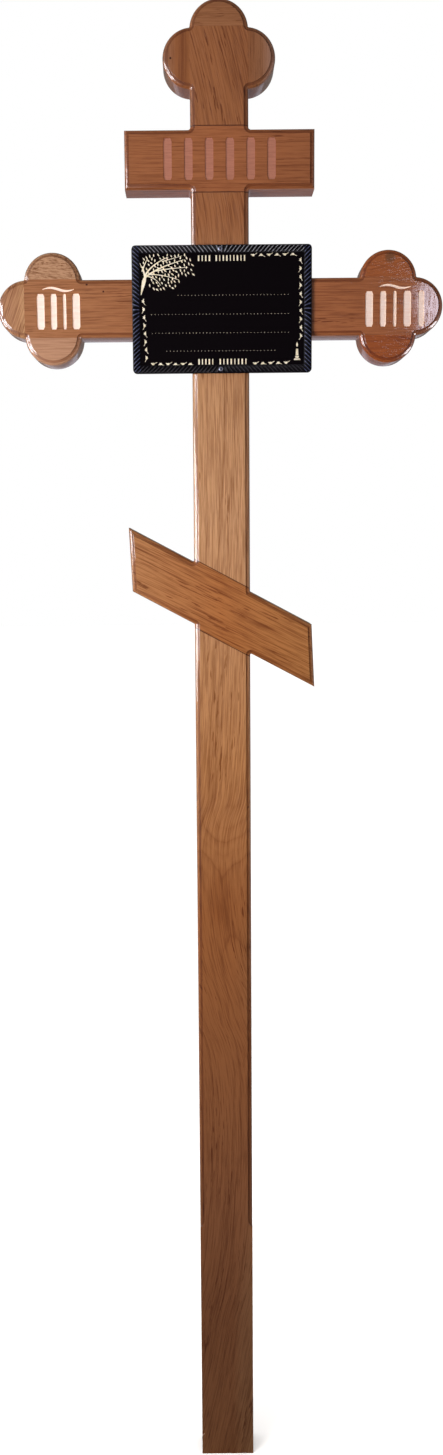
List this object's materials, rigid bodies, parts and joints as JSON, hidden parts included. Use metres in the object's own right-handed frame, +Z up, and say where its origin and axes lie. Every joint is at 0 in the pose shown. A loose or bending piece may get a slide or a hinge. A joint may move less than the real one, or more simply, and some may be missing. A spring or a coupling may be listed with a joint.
{
  "type": "wooden grave cross",
  "caption": "Tall varnished wooden grave cross with a slanting lower crossbar, rounded trefoil ends, a moulded front edge and a black rope-edged nameplate.",
  "frame": {"origin": "middle of the post's square-cut foot, where it meets the ground", "axes": "+Z up along the post; X along the crossbars, +X to the right seen from the front; the moulded and carved front faces -Y"},
  "size_m": [0.621, 0.0569, 2.153],
  "materials": {
    "oak": "oil-rich gloss varnish over stained oak",
    "pale_oak": "gloss varnish over paler stained oak blocks",
    "plate": "matte black with a blue-black rope edge and gold line ornament",
    "screw": "dark blued steel"
  },
  "bodies": {
    "root": {"post": "oak", "upper_crossbar": "oak", "main_crossbar": "oak", "slanting_crossbar": "oak", "top_lobe_upper": "pale_oak", "top_lobe_left": "pale_oak", "top_lobe_right": "pale_oak", "left_lobe_end": "pale_oak", "left_lobe_upper": "pale_oak", "left_lobe_lower": "pale_oak", "right_lobe_end": "pale_oak", "right_lobe_upper": "pale_oak", "right_lobe_lower": "pale_oak", "nameplate": "plate", "nameplate_screw_top": "screw", "nameplate_screw_bottom": "screw"}
  },
  "joints": []
}
